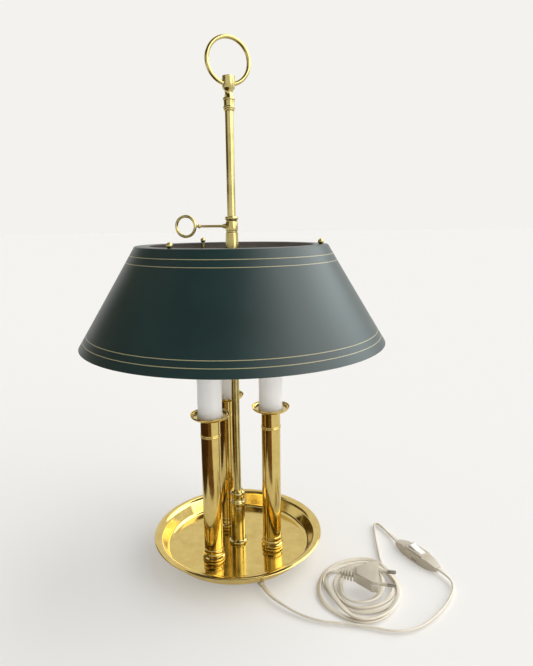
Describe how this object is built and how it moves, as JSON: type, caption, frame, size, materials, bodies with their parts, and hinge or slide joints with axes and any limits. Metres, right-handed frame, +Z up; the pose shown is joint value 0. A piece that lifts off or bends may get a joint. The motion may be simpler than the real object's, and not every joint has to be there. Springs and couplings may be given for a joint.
{
  "type": "bouillotte table lamp",
  "caption": "Table lamp with a brass dish base, candle-style lights round a pole and a tapered painted metal shade on a sliding carriage, with an in-line switch.",
  "frame": {"origin": "on the lamp's axis, at the table", "axes": "+Z up along the pole; +X to the right and -Y towards the camera in the picture's view"},
  "size_m": [0.4056, 0.3396, 0.5909],
  "materials": {
    "polished_brass": "polished and lacquered",
    "painted_tole": "satin dark green paint with thin gold lines",
    "painted_steel": "dull grey paint",
    "ivory_sleeve": "smooth off-white",
    "bulb_glass": "opal glass",
    "black_iron": "black stoved paint",
    "felt": "dark felt",
    "phenolic": "moulded, black",
    "zinc_steel": "zinc plated",
    "flex_sheath": "soft ivory PVC",
    "ivory_plastic": "moulded ivory plastic",
    "white_plastic": "moulded white plastic",
    "nickel_plate": "nickel plate"
  },
  "bodies": {
    "base": {"base_felt": "felt", "base_weight": "black_iron", "cord_relief": "ivory_plastic", "dish": "polished_brass", "pole": "polished_brass", "column_socket": "polished_brass", "pole_washer": "zinc_steel", "pole_nut": "zinc_steel", "finial_ring": "polished_brass", "finial": "polished_brass", "candle_tube_1": "polished_brass", "candle_pan_1": "polished_brass", "candle_sleeve_1": "ivory_sleeve", "lampholder_1": "phenolic", "bulb_1": "bulb_glass", "candle_rod_1": "zinc_steel", "candle_tube_2": "polished_brass", "candle_pan_2": "polished_brass", "candle_sleeve_2": "ivory_sleeve", "lampholder_2": "phenolic", "bulb_2": "bulb_glass", "candle_rod_2": "zinc_steel", "candle_tube_3": "polished_brass", "candle_pan_3": "polished_brass", "candle_sleeve_3": "ivory_sleeve", "lampholder_3": "phenolic", "bulb_3": "bulb_glass", "candle_rod_3": "zinc_steel", "candle_nuts": "zinc_steel", "candle_washers": "zinc_steel", "cord_lead": "flex_sheath", "switch_base": "ivory_plastic", "switch_cover": "ivory_plastic", "switch_screws": "zinc_steel", "cord_to_coil": "flex_sheath", "cord_coil": "flex_sheath", "plug_body": "ivory_plastic", "plug_pins": "nickel_plate", "plug_pin_sleeves": "ivory_plastic"},
    "carriage": {"collar": "polished_brass", "hub_nut": "polished_brass"},
    "shade": {"shade": "painted_tole", "shade_posts": "polished_brass", "ball_nuts": "polished_brass", "shade_spider": "painted_steel"},
    "key": {"thumb_screw": "polished_brass"},
    "rocker": {"switch_rocker": "white_plastic"}
  },
  "joints": [
    {"name": "carriage_slide", "type": "slide", "parent": "base", "child": "carriage", "axis": [0, 0, 1], "range_m": [-0.012, 0.105]},
    {"name": "shade_turn", "type": "hinge", "parent": "carriage", "child": "shade", "pos_m": [0, 0, 0.358], "axis": [0, 0, 1], "continuous": true},
    {"name": "key_turn", "type": "hinge", "parent": "carriage", "child": "key", "pos_m": [0, 0, 0.393], "axis": [-1, 0, 0], "range_deg": [0, 270]},
    {"name": "rocker_tilt", "type": "hinge", "parent": "base", "child": "rocker", "pos_m": [0.2112, -0.0364, 0.00942], "axis": [0.8862, 0.4633, 0], "range_deg": [-20, 0]}
  ]
}
